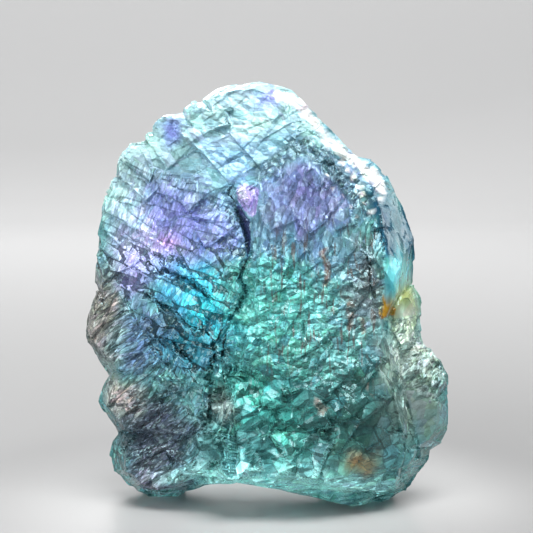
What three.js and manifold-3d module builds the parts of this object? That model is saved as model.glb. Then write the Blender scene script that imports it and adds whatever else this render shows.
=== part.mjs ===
// Fluorite octahedron: a rough, etched crystal of intergrown blocks, standing on its broken base.
// Millimetres, +Z up. The big etched octahedral face looks along -Y. The origin is under the middle of
// the stone, on the surface that it stands on.
import * as THREE from "three";
import { mergeVertices } from "three/addons/utils/BufferGeometryUtils.js";
import Module from "manifold-3d";

const wasm = await Module();
wasm.setup();

// Driving dimensions
const FRONT_LEAN = THREE.MathUtils.degToRad(11); // the big front face leans back by this
const FRONT_DEPTH = 15; // from the middle plane forward to the big face, at the base
const BACK_DEPTH = 12; // and back to the opposite octahedral face, at half height
const CROWN = 62.5; // height at which the back of the crown starts to slope away
const FRONT_BEVEL = 2.4; // a block rises from its rim by this many mm for each mm inward
const BACK_BEVEL = 2.0; // and falls behind it by this many
const TERRACE = 1.2; // etched plates stand proud of their face by no more than this
const OVERHANG = 0.15; // and stand out past the bevels by no more than this
const PLATE = 2.5; // thickness of a plate, most of it sunk in its face
const CUTTER = 200; // side of the boxes that trim the blocks, longer than the stone
const STONE_WIDTH = 56;
const STONE_HEIGHT = 64;
const BARE_STEP = 2; // step across faces that have no relief
const ROW_STEP = 0.82; // rows of plates lie closer than the plates along them, by this
const STEEP = 1.2; // bevels that rise less steeply than this are crumbled into chips
const CRACK_DEEPER = 1.6; // a crack is deeper than it is wide, by this
const SIZE_RANGE = [0.7, 1.3]; // a plate is this many times its kind's size
const HEIGHT_RANGE = [0.5, 1.2]; // and its height
const TURN_RANGE = [-4, 4]; // and it turns this many degrees further
const SEED = 14;
const ARCH_RISE = THREE.MathUtils.degToRad(15); // the hollow under the front rises forward by this
const ARCH_REACH = 40; // half the length of its cutter

// Directions of the octahedral faces, worked out from the front face's own
const UP = new THREE.Vector3(0, 0, 1);
const ACROSS = new THREE.Vector3(1, 0, 0);
const OCTAHEDRAL_ANGLE = Math.acos(1 / 3);
const toFront = new THREE.Vector3(0, -Math.cos(FRONT_LEAN), Math.sin(FRONT_LEAN));
const upInFront = new THREE.Vector3(0, Math.sin(FRONT_LEAN), Math.cos(FRONT_LEAN));

function octahedral(turn) {
  const side = upInFront.clone().multiplyScalar(Math.cos(turn)).addScaledVector(ACROSS, Math.sin(turn));
  return toFront
    .clone()
    .multiplyScalar(Math.cos(OCTAHEDRAL_ANGLE))
    .addScaledVector(side, Math.sin(OCTAHEDRAL_ANGLE));
}

const toBelow = octahedral(Math.PI);
const toUpperLeft = octahedral(-Math.PI / 3);
const toUpperRight = octahedral(Math.PI / 3);
const opposite = (normal) => normal.clone().negate();

// The same seed gives the same stone each time
function seeded(seed) {
  let state = seed;
  return () => {
    state = (state + 0x6d2b79f5) | 0;
    let mixed = Math.imul(state ^ (state >>> 15), 1 | state);
    mixed = (mixed + Math.imul(mixed ^ (mixed >>> 7), 61 | mixed)) ^ mixed;
    return ((mixed ^ (mixed >>> 14)) >>> 0) / 4294967296;
  };
}

const between = (random, [low, high]) => low + (high - low) * random();

// Etch relief, by kind: how far apart its plates lie, each one's length, width, height at its lower edge
// and number of corners, and its turns in degrees, which raise its right-hand end
const RELIEF = {
  tiles: (z) => ({
    step: 5.7 - 0.055 * z,
    length: 7.4 - 0.085 * z,
    width: 6 - 0.065 * z,
    height: 1.15 - 0.012 * z,
    corners: 4,
    turns: [45, 38, 55, 20],
  }),
  scales: () => ({ step: 6.2, length: 11, width: 4.2, height: 0.9, corners: 4, turns: [-26, -32, -20] }),
  hatch: () => ({ step: 7.4, length: 12, width: 3.6, height: 0.6, corners: 4, turns: [30, 24, -50] }),
  brush: () => ({ step: 5.4, length: 10, width: 3.4, height: 0.8, corners: 4, turns: [32, 42, 24] }),
  steps: () => ({ step: 5, length: 11, width: 2.4, height: 0.6, corners: 4, turns: [0, 3, -3] }),
  chips: () => ({ step: 3.2, length: 4, width: 3, height: 0.9, corners: 3, turns: [15, 60, 100] }),
  sugar: () => ({ step: 3.6, length: 3.6, width: 3, height: 0.7, corners: 3, turns: [0, 40, 80] }),
  lumps: () => ({ step: 13, length: 14, width: 9, height: 1, corners: 4, turns: [0, 30, -30] }),
};

// A face is a normal that points out of the stone, a point that it passes through and its kind of relief
const face = (normal, x, y, z, relief) => ({
  normal: normal.clone().normalize(),
  point: new THREE.Vector3(x, y, z),
  relief,
});
// A front face, given by its y where x and z are nought and by how y changes along x and along z
const frontFace = (y, alongX, alongZ, relief) => face(new THREE.Vector3(alongX, -1, alongZ), 0, y, 0, relief);

// Faces that several blocks share. Each block takes its own small offset, which leaves the ledges.
const bigFace = (back = 0) => frontFace(-FRONT_DEPTH + back, 0, Math.tan(FRONT_LEAN), "tiles");
const leftFace = (back = 0, relief = "scales") => frontFace(-17 + back, -0.517, 0.23, relief);
const topFace = (back = 0) => frontFace(-19.2 + back, -0.05, 0.344, "hatch");
const rightFace = (back = 0) => frontFace(-26.7 + back, 0.77, 0.19);
const lowRightFace = (back = 0) => frontFace(-17.2 + back, 0.53, -0.12, "tiles");
const undersideOfBigFace = (back = 0) => face(toBelow, 0, -13.5 + back, 7, "steps");
const backFaces = (inward = 0) => [
  face(opposite(toFront), 0, BACK_DEPTH - inward, 30, "lumps"),
  face(opposite(toBelow), 0, 6 - inward, CROWN, "lumps"),
  face(opposite(toUpperRight), -24.5, 8 - inward, 0, "lumps"),
  face(opposite(toUpperLeft), 26, 6 - inward, 6, "lumps"),
];

// The intergrown blocks. An outline runs clockwise as seen from the front, as [x, z] and, where an edge
// has bevels of its own, their front and back slopes. The rim is the y of that outline.
const BLOCKS = [
  {
    name: "heart",
    rim: 4,
    outline: [
      [-22, 16, 6, 6], [-22, 40, 6, 6], [-12, 54, 6, 6], [5, 56, 6, 6], [15, 46, 6, 6],
      [20, 30, 6, 6], [21, 12, 6, 6], [14, 3, 6, 6], [-14, 4, 6, 6],
    ],
    faces: [bigFace(2.5), leftFace(1.8), topFace(2), rightFace(3.5), lowRightFace(2.5), ...backFaces(1.5)],
  },
  {
    name: "left_stand",
    rim: 3,
    outline: [[-20.5, 8], [-12, 10], [-12.6, -3], [-18.6, -3]],
    faces: [frontFace(0.4, 0, -0.1), ...backFaces(0.3)],
  },
  {
    name: "right_stand",
    rim: 2,
    outline: [[11, 8], [21, 8], [18.8, -3], [12.5, -3]],
    faces: [frontFace(-2.5, 0, -0.2), ...backFaces(0.1)],
  },
  {
    name: "left_core",
    rim: 4,
    outline: [[-24.5, 30], [-21.5, 47], [-12, 56], [2, 57], [6, 20], [4, 3], [-14, 4.5], [-22, 12]],
    faces: [leftFace(1.3), topFace(1.2), ...backFaces(0.6)],
  },
  {
    name: "right_core",
    rim: 3,
    outline: [[10, 50], [17, 45], [21, 37], [23.2, 27], [24.8, 18], [24, 10], [19, 3], [6, 2]],
    faces: [rightFace(3), frontFace(-14, 0.42, 0.15), ...backFaces(0.4)],
  },
  {
    name: "crest",
    rim: 4.5,
    outline: [
      [-9.5, 60.2], [-7.3, 62], [-3.8, 62.6], [-0.8, 63, 1.6], [3.6, 61.8, 1.3], [13.6, 51.8],
      [16, 30], [-2.5, 20.5], [-12, 36],
    ],
    faces: [topFace(), leftFace(0.5), bigFace(1.5), ...backFaces()],
  },
  {
    name: "upper_lobe",
    rim: 4.5,
    outline: [[-12.3, 59], [-11.3, 59.9], [-9.5, 60.1], [-2, 59.5], [4, 39], [-13.2, 42]],
    faces: [topFace(0.4), leftFace(0.3, "hatch"), ...backFaces(0.6)],
  },
  {
    name: "second_lobe",
    rim: 5,
    outline: [[-17, 56.2], [-15.7, 57.8], [-12.7, 58.2], [-2, 57.2], [4, 26.5], [-18, 34]],
    faces: [topFace(0.2), leftFace(0, "hatch"), ...backFaces(1.2)],
  },
  {
    name: "notch_lobe",
    rim: 5.5,
    outline: [[-18.9, 53.4], [-18, 55], [-16.6, 55.3], [-4, 55.6], [-4, 40], [-20.2, 40.4]],
    faces: [topFace(0.9), leftFace(0.7, "hatch"), ...backFaces(0.4)],
  },
  {
    name: "third_lobe",
    rim: 6,
    outline: [
      [-22.6, 50.2], [-21.8, 52.5], [-20.8, 53.5], [-18.7, 54], [-4, 52.7], [4, 24], [-12, 21],
      [-23, 27],
    ],
    faces: [topFace(0.3), leftFace(0.2), ...backFaces(0)],
  },
  {
    name: "left_lobe",
    rim: 6.5,
    outline: [
      [-25.8, 38], [-25, 45], [-23.9, 48.2], [-22.6, 48.9], [-10, 49.6], [-4, 28], [-12, 25],
      [-25.2, 25],
    ],
    faces: [leftFace(0.6), ...backFaces(0.9)],
  },
  {
    name: "upper_flank",
    rim: 6,
    outline: [
      [-26.3, 36.4], [-25.5, 38.4], [-18, 39.6], [-8, 32], [0, 20], [-6, 17], [-25.2, 25],
      [-26, 32],
    ],
    faces: [leftFace(-0.2, "brush"), ...backFaces(0.5)],
  },
  {
    name: "middle_flank",
    rim: 5,
    outline: [[-27.8, 24.1], [-27.3, 27.8], [-26, 30.8], [-21, 32], [-4, 22], [0, 10], [-24.2, 18]],
    faces: [leftFace(-0.5, "brush"), ...backFaces(0.2)],
  },
  {
    name: "lower_flank",
    rim: 3,
    outline: [[-25.8, 14.3], [-25, 16.5], [-23.7, 19], [-19.3, 23], [-4, 18], [0, 4], [-22.8, 9.3]],
    faces: [leftFace(0, "brush"), ...backFaces(1)],
  },
  {
    name: "left_foot",
    rim: 2,
    outline: [
      [-23.4, 4], [-23.8, 6.1], [-23.5, 8.3], [-22, 10.6], [-14, 14], [0, 9], [-4, 3],
      [-12.7, 0.3], [-16.4, -0.6], [-19.8, 0.4],
    ],
    faces: [frontFace(-14.5, -0.38, 0.3, "brush"), ...backFaces(0.3)],
  },
  {
    name: "shoulder",
    rim: 1.5,
    outline: [
      [9.5, 52.8, 1.4], [15.7, 51.2, 1.6], [18, 48.9, 1.6], [20, 44.8, 1.6], [22.2, 39.7],
      [22, 31.7], [19.5, 22.5], [8, 25.5], [5, 45.3],
    ],
    faces: [rightFace(), topFace(0.5), ...backFaces(0.7)],
  },
  {
    name: "right_corner",
    rim: 1,
    outline: [
      [20, 33.2], [22.2, 32.4], [23.1, 30.8], [23.4, 29], [23.2, 23.8], [19.5, 20.3],
      [15.7, 25.6], [16.5, 31],
    ],
    faces: [rightFace(1.6), ...backFaces(0.2)],
  },
  {
    name: "right_lump",
    rim: 0,
    outline: [
      [22.9, 24.2, 1], [25, 22.3, 1], [26.5, 20.7, 1.4], [27.4, 18.8, 1.6], [27.5, 10.6, 1.6],
      [26.5, 8.6, 1.8], [24.5, 7.2], [18.8, 5], [12, 10], [14, 26], [19, 26.6, 1],
    ],
    faces: [
      frontFace(-14.6, 0.36, 0.15),
      face(new THREE.Vector3(0.15, -0.72, 0.68), 20, -4.3, 20.5, "sugar"),
      ...backFaces(0.8),
    ],
  },
  {
    name: "right_heel",
    rim: -1,
    outline: [
      [24.9, 8.1, 1.6], [24.4, 6.2, 1.6], [22, 2.7, 1.6], [20.9, 1.4], [18.4, 0.4], [9, 1.2],
      [11, 12.2], [22.4, 11.4],
    ],
    faces: [lowRightFace(1.4), ...backFaces(0.5)],
  },
  {
    name: "big_block_ledge",
    rim: -1.5,
    outline: [
      [-12.8, 2], [-1.6, 50.3, 1], [6, 55.8, 1], [11.4, 52.8, 1], [16.6, 45.5], [18.6, 38.1],
      [19.9, 26],
    ],
    faces: [bigFace(1.3), rightFace(0.6), undersideOfBigFace(0.8), ...backFaces(1)],
  },
  {
    name: "big_block",
    rim: -2,
    outline: [
      [-12, 2], [-0.7, 49.4, 1.1], [2.6, 52, 1.1], [6.1, 54.2, 1.1], [10.6, 51.3, 1.1],
      [15.4, 44.8], [18, 38], [20.1, 26], [21.8, 15.5], [22.5, 9.4], [20.9, 1.8], [16.5, -1],
    ],
    faces: [bigFace(), rightFace(), lowRightFace(), undersideOfBigFace(), ...backFaces(0.9)],
  },
  {
    name: "toe",
    rim: -2.6,
    outline: [[2, 2.4], [5, 3.6], [14.8, 4.6], [19.5, 2], [14.1, -1], [9, -1]],
    faces: [frontFace(-9, 0.05, -1.15), ...backFaces(1.1)],
  },
  {
    name: "wedged_chip",
    rim: -1,
    outline: [[-5.6, 46.8, 5], [-3.4, 48.4, 5], [-1.2, 46, 5], [-2.2, 42.3, 5]],
    faces: [frontFace(-19.6, -0.25, 0.27), ...backFaces(2)],
  },
];

// Cracks in the front, as corners [x, z]
const CRACKS = [
  {
    width: 0.9,
    path: [
      [-6, 46.6], [-4.2, 43.9], [-2.9, 40.9], [-2.4, 37.2], [-3.9, 34.1], [-2.7, 32.6],
      [-4.1, 30.2], [-6.4, 26.4], [-7.7, 23.8], [-8.5, 19.8],
    ],
  },
  { width: 0.7, path: [[-8.2, 23.4], [-8.1, 15.8]] },
  { width: 0.7, path: [[-5.7, 25.8], [-5.9, 19.5]] },
  { width: 0.6, path: [[5.4, 28.3], [5.3, 23.5]] },
  { width: 0.7, path: [[-14.2, 38], [-9.1, 32.4]] },
  { width: 0.8, path: [[-16.5, 35.4], [-11.9, 34.1], [-8.3, 31]] },
  { width: 0.7, path: [[-18, 31], [-10.5, 26.8]] },
  { width: 0.6, path: [[-15, 24.8], [-11.2, 21.9]] },
];

// The hollow's outline where it crosses the middle plane, as corners [x, z]
const ARCH = [[-12.6, -9], [-12.2, 1], [-9.4, 1.9], [-4.5, 2.3], [2, 1.2], [9.5, -0.6], [14, -1.6], [14, -9]];

function solidFrom(geometry) {
  const bare = new THREE.BufferGeometry().setAttribute("position", geometry.getAttribute("position"));
  if (geometry.index) bare.setIndex(geometry.index);
  const merged = mergeVertices(bare, 1e-4);
  return new wasm.Manifold(
    new wasm.Mesh({
      numProp: 3,
      vertProperties: new Float32Array(merged.attributes.position.array),
      triVerts: new Uint32Array(merged.index.array),
    }),
  );
}

// Everything on the inner side of a face, as a box larger than the stone
function innerSide({ normal, point }, proud = 0) {
  const turn = new THREE.Quaternion().setFromUnitVectors(UP, normal);
  const middle = point.clone().addScaledVector(normal, proud - CUTTER / 2);
  const placed = new THREE.Matrix4().compose(middle, turn, new THREE.Vector3(1, 1, 1));
  return solidFrom(new THREE.BoxGeometry(CUTTER, CUTTER, CUTTER).applyMatrix4(placed));
}

const trimmedBy = (faces, proud = 0) =>
  faces.map((one) => innerSide(one, proud)).reduce((solid, side) => solid.intersect(side));

// A front and a back bevel along each edge of a block's outline
const bevelsOf = ({ rim, outline }) =>
  outline.flatMap(([x, z, front = FRONT_BEVEL, back = BACK_BEVEL], corner) => {
    const [nextX, nextZ] = outline[(corner + 1) % outline.length];
    const out = new THREE.Vector2(z - nextZ, nextX - x).normalize();
    const relief = front < STEEP ? "chips" : undefined;
    return [
      face(new THREE.Vector3(front * out.x, -1, front * out.y), x, rim, z, relief),
      face(new THREE.Vector3(back * out.x, 1, back * out.y), x, rim, z),
    ];
  });

// Where a line along y at x and z meets one side of a convex block, or null where it misses the block
function meetBlock(faces, x, z, side) {
  const ends = {};
  for (const one of faces) {
    const { normal, point } = one;
    const y = point.y - (normal.x * (x - point.x) + normal.z * (z - point.z)) / normal.y;
    const end = Math.sign(normal.y);
    if (!ends[end] || (y - ends[end].y) * end < 0) ends[end] = { y, face: one };
  }
  return ends[1].y > ends[-1].y ? ends[side] : null;
}

// Where the same line meets one side of the whole stone
function meetStone(blocks, x, z, side) {
  const met = blocks.map((block) => meetBlock(block, x, z, side)).filter(Boolean);
  return met.length ? met.reduce((outer, one) => ((one.y - outer.y) * side > 0 ? one : outer)) : null;
}

// A plate that lies tilted on a face: its upper edge is level with the face and its lower edge stands out
function plate(at, normal, { length, width, height, corners }, turn) {
  const level = new THREE.Vector3().crossVectors(UP, normal).normalize();
  const down = new THREE.Vector3().crossVectors(level, normal);
  const axes = new THREE.Matrix4().makeBasis(level, normal, down).setPosition(at);
  const slab = new THREE.CylinderGeometry(1, 1, PLATE, corners)
    .rotateY(Math.PI / corners)
    .scale(length / Math.SQRT2, 1, width / Math.SQRT2)
    .translate(0, -PLATE / 2, 0)
    .rotateX(-Math.atan2(height, width))
    .translate(0, height / 2, 0)
    .rotateY(turn);
  return solidFrom(slab.applyMatrix4(axes));
}

// The plates on one side of the stone, on a loose grid, each of the kind that its face has
function platesOn(blocks, side, random) {
  const plates = [];
  for (let z = 0; z < STONE_HEIGHT; ) {
    let rowStep = BARE_STEP;
    for (let x = -STONE_WIDTH / 2; x < STONE_WIDTH / 2; ) {
      const spotX = x + random() * BARE_STEP;
      const spotZ = z + random() * BARE_STEP;
      const met = meetStone(blocks, spotX, spotZ, side);
      const kind = met && met.face.relief ? RELIEF[met.face.relief](spotZ) : null;
      if (kind) {
        const grown = between(random, SIZE_RANGE);
        const size = {
          length: kind.length * grown,
          width: kind.width * grown,
          height: kind.height * between(random, HEIGHT_RANGE),
          corners: kind.corners,
        };
        const turn = kind.turns[Math.floor(random() * kind.turns.length)] + between(random, TURN_RANGE);
        const at = new THREE.Vector3(spotX, met.y, spotZ);
        plates.push(plate(at, met.face.normal, size, THREE.MathUtils.degToRad(turn)));
        rowStep = kind.step * ROW_STEP;
      }
      x += kind ? kind.step : BARE_STEP;
    }
    z += rowStep;
  }
  return plates;
}

// A crack as V-shaped grooves in the front, from one [x, z] corner to the next
function crackCuts(blocks, { width, path }) {
  return path.slice(1).map(([endX, endZ], index) => {
    const [startX, startZ] = path[index];
    const start = new THREE.Vector3(startX, meetStone(blocks, startX, startZ, -1).y, startZ);
    const end = new THREE.Vector3(endX, meetStone(blocks, endX, endZ, -1).y, endZ);
    const along = end.clone().sub(start);
    const across = new THREE.Vector3().crossVectors(along, toFront).normalize();
    const inward = new THREE.Vector3().crossVectors(along, across).normalize();
    const axes = new THREE.Matrix4().makeBasis(along.clone().normalize(), across, inward);
    axes.setPosition(start.add(end).multiplyScalar(0.5));
    const bar = new THREE.BoxGeometry(along.length() + width, width, width)
      .rotateX(Math.PI / 4)
      .scale(1, 1, CRACK_DEEPER);
    return solidFrom(bar.applyMatrix4(axes));
  });
}

// The hollow under the front of the stone, between the left foot and the toe. It fades out towards the back.
function archCut() {
  const profile = new THREE.Shape(ARCH.map(([x, z]) => new THREE.Vector2(x, z)));
  const cut = new THREE.ExtrudeGeometry(profile, { depth: 2 * ARCH_REACH, bevelEnabled: false });
  return solidFrom(cut.translate(0, 0, -ARCH_REACH).rotateX(Math.PI / 2 - ARCH_RISE));
}

const blocks = BLOCKS.map((block) => [...block.faces, ...bevelsOf(block)]);
const solids = BLOCKS.map((block) => trimmedBy([...block.faces, ...bevelsOf(block)]));
const reliefRoom = BLOCKS.map((block) =>
  trimmedBy(block.faces, TERRACE).intersect(trimmedBy(bevelsOf(block), OVERHANG)),
);
const random = seeded(SEED);
const plates = [-1, 1].flatMap((side) => platesOn(blocks, side, random));
const relief = wasm.Manifold.union(plates).intersect(wasm.Manifold.union(reliefRoom));
const cracks = CRACKS.flatMap((crack) => crackCuts(blocks, crack));

// The stone stands on its broken base: what is above the surface
const stone = wasm.Manifold.union([...solids, relief])
  .subtract(wasm.Manifold.union([archCut(), ...cracks]))
  .intersect(innerSide(face(opposite(UP), 0, 0, 0)));

const made = stone.getMesh();
const geometry = new THREE.BufferGeometry()
  .setAttribute("position", new THREE.BufferAttribute(made.vertProperties, 3))
  .setIndex(new THREE.BufferAttribute(made.triVerts, 1));
const fluorite = new THREE.MeshStandardMaterial({ color: 0x5fb8b4, roughness: 0.25, metalness: 0 });
const crystal = new THREE.Mesh(geometry, fluorite);
crystal.name = "fluorite_crystal";

// The origin goes under the middle of the stone
const middle = new THREE.Box3().setFromObject(crystal).getCenter(new THREE.Vector3());
crystal.position.set(-middle.x, -middle.y, 0);

const group = new THREE.Group();
group.add(crystal);

export default group;
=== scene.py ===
"""The looks of the fluorite crystal: etched facets, colour zones and glassy material, light and camera.

Metres, in the frame's own axes: the big etched face looks along -Y and the stone stands on z = 0. Places on
the stone are written in millimetres as (x, z), seen from the front.
"""

import math

import bmesh
import bpy
import numpy as np
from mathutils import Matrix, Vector


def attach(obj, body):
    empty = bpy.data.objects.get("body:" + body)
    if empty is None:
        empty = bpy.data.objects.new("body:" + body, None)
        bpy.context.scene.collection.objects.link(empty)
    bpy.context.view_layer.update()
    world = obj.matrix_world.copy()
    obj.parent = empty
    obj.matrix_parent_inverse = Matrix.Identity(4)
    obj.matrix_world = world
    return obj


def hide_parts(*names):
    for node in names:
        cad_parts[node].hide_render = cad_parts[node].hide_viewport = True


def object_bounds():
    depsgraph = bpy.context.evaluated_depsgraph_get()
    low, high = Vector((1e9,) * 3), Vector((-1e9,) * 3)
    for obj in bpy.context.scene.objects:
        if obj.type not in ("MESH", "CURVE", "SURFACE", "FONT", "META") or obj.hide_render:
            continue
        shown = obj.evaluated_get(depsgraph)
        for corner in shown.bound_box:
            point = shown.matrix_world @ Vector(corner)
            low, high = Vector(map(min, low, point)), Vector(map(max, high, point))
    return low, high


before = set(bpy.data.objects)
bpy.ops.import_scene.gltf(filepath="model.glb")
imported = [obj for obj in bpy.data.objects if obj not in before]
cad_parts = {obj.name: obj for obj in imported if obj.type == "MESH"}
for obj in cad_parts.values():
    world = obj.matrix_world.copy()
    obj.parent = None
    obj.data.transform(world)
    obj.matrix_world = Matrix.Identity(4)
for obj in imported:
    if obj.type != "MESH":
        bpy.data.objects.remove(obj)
cad_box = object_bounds()

MM = 0.001
NODE = "fluorite_crystal"

# How finely the stone is meshed, and how many triangles its finished mesh may have
VOXEL = 0.14 * MM
MOST_TRIANGLES = 196000
CREASE = math.radians(24)

# The camera, at the photograph's distance and angle
CAMERA_AIM = Vector((0.15, -1.23, 35.4)) * MM
CAMERA_DISTANCE = 222 * MM
CAMERA_RISE = math.radians(6)
LENS = 100
SENSOR = 36
CLIP_START = 10 * MM

# Steps between one kind of etching and the next, in the seeds and in the grain of the finest facets
FIRST_SEED = 400
SEEDS_APART = 20
CELLS_APART = 60


# Random numbers that depend only on a cell and a seed

def cell_random(iu, iv, iw, seed):
    """A number from 0 to 1 for each whole-numbered cell."""
    mixed = (
        iu.astype(np.uint64) * np.uint64(0x9E3779B1)
        + iv.astype(np.uint64) * np.uint64(0x85EBCA77)
        + iw.astype(np.uint64) * np.uint64(0xC2B2AE3D)
        + np.uint64(seed * 7919 + 17)
    ) & np.uint64(0xFFFFFFFF)
    for shift, factor in ((15, 0x2C1B3C6D), (12, 0x297A2D39), (15, 0x1B56C4E9)):
        mixed ^= mixed >> np.uint64(shift)
        mixed = (mixed * np.uint64(factor)) & np.uint64(0xFFFFFFFF)
    mixed ^= mixed >> np.uint64(15)
    return mixed.astype(np.float64) / 4294967295.0


CELLS_MOVED_UP = 4096


def whole(values):
    """The whole part of each value, moved up so that none is below nought."""
    return np.floor(values).astype(np.int64) + CELLS_MOVED_UP


def smooth_noise(u, v, w, seed):
    """Smooth noise from -1 to 1 with features one unit wide."""
    iu, iv, iw = whole(u), whole(v), whole(w)
    fu, fv, fw = u - np.floor(u), v - np.floor(v), w - np.floor(w)
    su, sv, sw = (f * f * (3 - 2 * f) for f in (fu, fv, fw))
    total = np.zeros_like(u)
    for du in (0, 1):
        for dv in (0, 1):
            for dw in (0, 1):
                share = (su if du else 1 - su) * (sv if dv else 1 - sv) * (sw if dw else 1 - sw)
                total += share * cell_random(iu + du, iv + dv, iw + dw, seed)
    return 2 * total - 1


def ramp(low, high, values):
    """Nought below low, one above high, and smooth between them."""
    t = np.clip((values - low) / (high - low), 0, 1)
    return t * t * (3 - 2 * t)


def neighbours(u, v, seed):
    """The centres of the cells around each point, in cells, each with its own two random numbers."""
    for step_u in (-1, 0, 1):
        for step_v in (-1, 0, 1):
            iu, iv = whole(u) + step_u, whole(v) + step_v
            level = np.zeros_like(iu)
            right, up, own, other = (cell_random(iu, iv, level, seed + extra) for extra in range(4))
            yield iu - CELLS_MOVED_UP + right, iv - CELLS_MOVED_UP + up, (own, other)


def in_cells(x, z, grain):
    """x and z in cells of a grain, whose long side rises to the right by some degrees."""
    turn, length, width = grain
    along = x * math.cos(math.radians(turn)) + z * math.sin(math.radians(turn))
    across = -x * math.sin(math.radians(turn)) + z * math.cos(math.radians(turn))
    return along / length, across / width


def in_millimetres(along, across, grain):
    """The other way round: from cells of a grain to x and z."""
    turn, length, width = grain
    along, across = along * length, across * width
    x = along * math.cos(math.radians(turn)) - across * math.sin(math.radians(turn))
    z = along * math.sin(math.radians(turn)) + across * math.cos(math.radians(turn))
    return x, z


# The three ways that the facets of an etch figure look, as seen on the front
WAYS = ((0, -1), (-0.87, 0.5), (0.87, 0.5))

# The sides of each kind of figure as (across, along its width, steepness): a pyramid, and a shingle that is
# gentle above and steep below
PYRAMID = ((0, -1, 1.0), (-0.87, 0.5, 1.0), (0.87, 0.5, 1.0))
SHINGLE = ((0, 1, 0.45), (0.15, -1, 2.6), (-0.95, -0.2, 0.24), (0.95, -0.2, 0.20))


# How much a figure's sides turn, how far its tip rises above its neighbours, and where its middle height is,
# the last two in widths of a figure
FIGURE_LEAN = 0.5
FIGURE_RISE = 0.9
FIGURE_MIDDLE = 0.35


def figures(x, z, grain, shape, slope, seed):
    """Height of a field of etch figures, and how far each point is from the crease between them."""
    u, v = in_cells(x, z, grain)
    _, length, width = grain
    height = np.full(u.shape, -1e3)
    second = np.full(u.shape, -1e3)
    for centre_u, centre_v, (own_height, own_lean) in neighbours(u, v, seed):
        away_u, away_v = (u - centre_u) * length, (v - centre_v) * width
        if shape is PYRAMID:
            away_u, away_v = in_millimetres(u - centre_u, v - centre_v, grain)
        lean = FIGURE_LEAN * (own_lean - 0.5)
        away_u, away_v = away_u - lean * away_v, away_v + lean * away_u
        falls = [steep * (side_u * away_u + side_v * away_v) for side_u, side_v, steep in shape]
        here = slope * (FIGURE_RISE * width * own_height - np.max(falls, axis=0))
        second = np.maximum(second, np.minimum(height, here))
        height = np.maximum(height, here)
    return height - FIGURE_MIDDLE * slope * width, (height - second) / slope


# Each kind of etching: the grain of its relief as (turn in degrees, length, width), its figures and how steep
# they are, then the grain of its finest facets, how strongly they show, how rough they are, and how dark the
# painted shade in the creases between its figures is and how wide, in millimetres
ETCHING = {
    "striated": ((82, 3.2, 1.5), SHINGLE, 0.24, (70, 1.7, 1.1), 0.50, 0.13, 0.50, 0.09),
    "crumbly": ((20, 1.6, 1.1), PYRAMID, 0.60, (30, 1.3, 0.9), 0.80, 0.12, 0.65, 0.12),
    "parquet": ((0, 2.4, 1.9), PYRAMID, 0.40, (-4, 1.6, 1.25), 0.90, 0.15, 0.35, 0.08),
    "roofs": ((6, 5.2, 3.4), PYRAMID, 0.62, (8, 4.6, 2.9), 1.15, 0.22, 0.60, 0.14),
    "fractured": ((-35, 5.0, 3.4), SHINGLE, 0.34, (14, 3.2, 2.2), 0.45, 0.15, 0.45, 0.10),
    "scales": ((-27, 3.6, 1.5), SHINGLE, 0.62, (62, 1.9, 0.8), 0.65, 0.07, 0.78, 0.17),
    "crown": ((31, 5.6, 2.3), SHINGLE, 0.38, (-24, 2.3, 1.4), 0.46, 0.06, 0.50, 0.08),
    "brushed": ((38, 3.4, 1.2), SHINGLE, 0.50, (36, 1.9, 0.7), 0.95, 0.16, 0.60, 0.11),
    "ledges": ((2, 5.0, 1.0), SHINGLE, 0.45, (0, 2.6, 0.55), 0.75, 0.08, 0.35, 0.10),
    "rim": ((70, 6.0, 3.0), SHINGLE, 0.15, (60, 3.0, 2.0), 0.15, 0.07, 0.0, 0.0),
    "sugar": ((20, 1.7, 1.3), PYRAMID, 0.50, (20, 1.0, 0.8), 0.80, 0.10, 0.20, 0.06),
    "lump": ((30, 5.0, 4.0), SHINGLE, 0.08, (20, 1.6, 1.2), 0.25, 0.12, 0.0, 0.0),
    "behind": ((25, 3.8, 2.2), SHINGLE, 0.34, (60, 1.8, 1.3), 0.70, 0.09, 0.45, 0.10),
}

# The outline of the big nearest block: its left and right edges as x for z, and its crest as z for x
BLOCK_LEFT = ((0, 15, 23, 27, 33, 35, 38, 45, 49), (-11, -9.5, -8.2, -6.4, -2.9, -3.7, -2.5, -4.4, -2))
BLOCK_RIGHT = ((0, 10, 20, 27, 40, 50), (24, 22.5, 19.8, 17, 17.5, 13))
BLOCK_CREST = (
    (-3, -1.1, -0.6, 1.3, 3.4, 6.0, 7.7, 9.8, 12, 14.8, 15.5, 17.5),
    (47, 48.5, 50.7, 51.9, 53.6, 54.7, 53.2, 51.4, 48.8, 45.6, 43.5, 40),
)


# Where one kind of etching gives way to the next on the front, in millimetres, and how much each of the
# sloping borders rises or falls to the right
BORDER_WOBBLE = 0.8
CREST_DEPTH = 2.4
RIGHT_SIDE = 15
CROWN_BASE, CROWN_TILT = 45, 0.3
SHOULDER_TOP = 46
LUMP_TOP = 28.2
LEDGE_TOP, LEDGE_LEFT = 6.6, -12
LOW_TOP, LOW_TILT = 21, 0.2
DARK_LEFT, DARK_TILT, DARK_MIDDLE, DARK_TOP = 9.5, 0.35, 12, 27
HIGH_BASE = 38
SUGAR_PLACE, SUGAR_TILT = (21, 18), 0.6
MARGIN_BASE, MARGIN_TILT = -1.05, 1.5


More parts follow.
